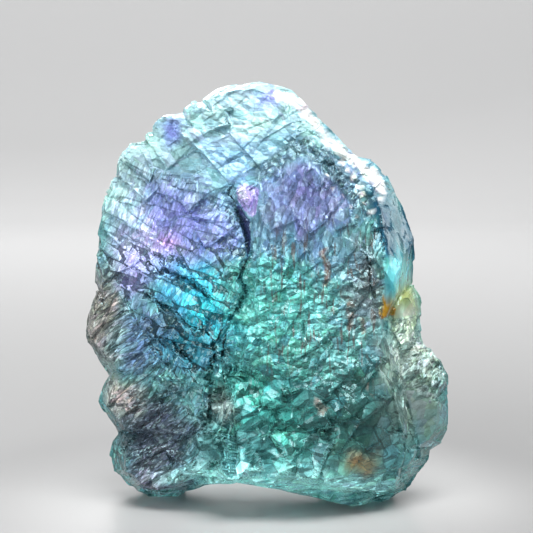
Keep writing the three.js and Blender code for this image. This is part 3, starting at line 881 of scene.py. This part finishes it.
def line_light(tree, light, place, contrast, patchy, edge, facet_edge):
    """The light with painted shade in creases, terrace lines and cracks, and painted highlights beside
    creases and terraces.
    """
    away, painted_crease_shade, line_width = split(tree, stored(tree, "lines", "Vector"))
    ragged = scattered(tree, place, WISPS_PER_METRE, 3, 0.2, 1.6)
    light = creased(tree, edge, maths(tree, "MULTIPLY", line_width, ragged), painted_crease_shade, light)
    facet_crease = maths(tree, "MULTIPLY", FACET_CREASE, maths(tree, "MULTIPLY", ragged, patchy))
    painted_facet_crease_shade = maths(tree, "MULTIPLY", painted_crease_shade, FACET_CREASE_PAINTED_SHADE)
    light = creased(tree, facet_edge, facet_crease, painted_facet_crease_shade, light)
    amount = maths(tree, "MULTIPLY", maths(tree, "MINIMUM", contrast, TERRACE_MOST), TERRACE_SHARE)
    light = terraced(tree, place, amount, light)
    # Painted shade darkens the cracks, which are carved in the mesh as well.
    crack = maths(tree, "LESS_THAN", away, maths(tree, "MULTIPLY", CRACK_REACH, ragged))
    kept = maths(tree, "SUBTRACT", 1.0, maths(tree, "MULTIPLY", crack, CRACK_PAINTED_SHADE))
    return maths(tree, "MULTIPLY", light, kept)


def fluorite_material():
    """Glassy, tinted by the stone's zones, with finely etched facets and painted light and shade on facets,
    creases, terraces, wrinkles and cracks.
    """
    material = bpy.data.materials.new("etched_fluorite")
    material.use_nodes = True
    tree = material.node_tree
    tree.nodes.clear()
    link = tree.links.new
    output = node(tree, "ShaderNodeOutputMaterial")
    shader = node(tree, "ShaderNodeBsdfPrincipled", GLASS)
    absorb = node(tree, "ShaderNodeVolumeAbsorption", ABSORPTION)
    grain = stored(tree, "grain", "Vector")
    contrast, rough, edge = split(tree, stored(tree, "finish", "Vector"))
    place = node(tree, "ShaderNodeTexCoord").outputs["Object"]
    patchy = scattered(tree, place, PATCHES_PER_METRE, 2, 0.1, 1.8)
    wrinkle = wrinkles(tree, place)

    lean, tone, hue, facet_edge = etch_facets(tree, grain, 1.0)
    smaller_lean, smaller_tone, _, _ = etch_facets(tree, grain, SMALLER)
    amount = maths(tree, "MULTIPLY", contrast, patchy)
    tone = maths(tree, "ADD", tone, maths(tree, "MULTIPLY", smaller_tone, SMALLER_TONE))
    light = maths(tree, "POWER", TONE_STEP, maths(tree, "MULTIPLY", tone, amount))
    # Painted highlight on the raised wrinkles.
    raised = maths(tree, "ADD", WRINKLE_LIGHT, maths(tree, "MULTIPLY", wrinkle, WRINKLE_PAINTED_HIGHLIGHT))
    light = maths(tree, "MULTIPLY", light, raised)
    light = line_light(tree, light, place, contrast, patchy, edge, facet_edge)

    varied = vector_maths(tree, "ADD", (1, 1, 1), vector_maths(tree, "SCALE", hue, HUE_SPREAD))
    own_colour = vector_maths(tree, "MULTIPLY", stored(tree, "zone", "Color"), varied)
    lit = vector_maths(tree, "SCALE", own_colour, light)
    link(streaked(tree, lit, place), shader.inputs["Base Color"])
    link(etched_normal(tree, lean, smaller_lean, amount, wrinkle), shader.inputs["Normal"])
    link(rough, shader.inputs["Roughness"])
    link(shader.outputs["BSDF"], output.inputs["Surface"])
    link(absorb.outputs["Volume"], output.inputs["Volume"])
    return material


# The bowl's grey with painted light: a painted pool of light under the stone, standing in for light through
# the crystal, and painted shade nearer the middle that lifts again far away: where each part starts and ends,
# in metres from the middle, and the values there
PAINTED_GLOW_UNDER_STONE = (0.010, 0.052, 0.30, 0.13)
PAINTED_GRADE_FAR_AWAY = (0.04, 0.5, 0.0, 0.265)


def bowl_material():
    """Pale, with a painted pool of light under the stone and painted shade that lightens far away, graded to
    balance the light over the stone.
    """
    material = bpy.data.materials.new("pale_bowl")
    material.use_nodes = True
    tree = material.node_tree
    shader = tree.nodes["Principled BSDF"]
    shader.inputs["Roughness"].default_value = 0.30
    shader.inputs["Specular IOR Level"].default_value = 0.3
    distance = vector_maths(tree, "LENGTH", node(tree, "ShaderNodeTexCoord").outputs["Object"])
    under = ranged(tree, distance, *PAINTED_GLOW_UNDER_STONE, interpolation_type="SMOOTHSTEP")
    beyond = ranged(tree, distance, *PAINTED_GRADE_FAR_AWAY)
    painted_floor_grade = maths(tree, "ADD", under, beyond)
    grey = node(tree, "ShaderNodeCombineXYZ")
    for socket in grey.inputs:
        tree.links.new(painted_floor_grade, socket)
    tree.links.new(grey.outputs["Vector"], shader.inputs["Base Color"])
    return material


def studio_bowl():
    """A pale round floor whose edge curves up into a wall, so that every side has a plain background."""
    floor, bend, top, steps, turns = 0.50, 0.30, 0.90, 12, 96
    profile = [(floor * ring / 4, 0.0) for ring in range(1, 5)]
    for step in range(1, steps + 1):
        turn = math.radians(90) * step / steps
        profile.append((floor + bend * math.sin(turn), bend - bend * math.cos(turn)))
    profile.append((floor + bend, top))
    points = [(0, 0, 0)]
    for radius, height in profile:
        for index in range(turns):
            turn = 2 * math.pi * index / turns
            points.append((radius * math.cos(turn), radius * math.sin(turn), height))
    faces = []
    for index in range(turns):
        beside = (index + 1) % turns
        faces.append((0, 1 + index, 1 + beside))
        for ring in range(len(profile) - 1):
            here, above = 1 + ring * turns, 1 + (ring + 1) * turns
            faces.append((here + index, above + index, above + beside, here + beside))
    mesh = bpy.data.meshes.new("studio_bowl")
    mesh.from_pydata(points, [], faces)
    mesh.shade_smooth()
    bowl = bpy.data.objects.new("studio_bowl", mesh)
    bpy.context.scene.collection.objects.link(bowl)
    mesh.materials.append(bowl_material())


def area_light(name, place, aim, size, power):
    """A rectangle of white light at a place, facing another."""
    light = bpy.data.lights.new(name, "AREA")
    light.shape = "RECTANGLE"
    light.size, light.size_y = size
    light.energy = power
    lamp = bpy.data.objects.new(name, light)
    lamp.location = Vector(place)
    lamp.rotation_euler = (Vector(aim) - lamp.location).to_track_quat("-Z", "Y").to_euler()
    bpy.context.scene.collection.objects.link(lamp)


def lights():
    """Soft light from above, in front and behind, a glow on the backdrop, and a little from everywhere."""
    middle = (0, 0, 0.032)
    area_light("top_softbox", (0.07, -0.10, 0.40), middle, (0.32, 0.26), 4.25)
    area_light("front_softbox", (-0.32, -0.36, 0.22), middle, (0.25, 0.35), 2.2)
    area_light("rim_softbox", (0.30, 0.16, 0.22), middle, (0.16, 0.30), 0.5)
    area_light("back_softbox", (-0.10, 0.42, 0.34), middle, (0.30, 0.24), 1.8)
    area_light("backdrop_glow", (0.0, 0.25, 0.70), (-0.08, 0.78, 0.25), (0.5, 0.2), 5.4)
    world = bpy.data.worlds.new("studio")
    bpy.context.scene.world = world
    world.use_nodes = True
    background = world.node_tree.nodes["Background"]
    background.inputs["Color"].default_value = (0.9, 0.93, 1.0, 1)
    background.inputs["Strength"].default_value = 0.24


def camera():
    """The photograph's view."""
    data = bpy.data.cameras.new("camera")
    data.lens = LENS
    data.sensor_width = SENSOR
    data.clip_start = CLIP_START
    view = bpy.data.objects.new("camera", data)
    back = Vector((0, -math.cos(CAMERA_RISE), math.sin(CAMERA_RISE)))
    view.location = CAMERA_AIM + back * CAMERA_DISTANCE
    view.rotation_euler = (-back).to_track_quat("-Z", "Y").to_euler()
    bpy.context.scene.collection.objects.link(view)
    bpy.context.scene.camera = view


camera()
lights()
studio_bowl()
bpy.context.scene.view_settings.view_transform = "Standard"

crystal = etched_stone()
paint(crystal)
crystal.data.materials.append(fluorite_material())
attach(crystal, "root")
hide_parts(NODE)
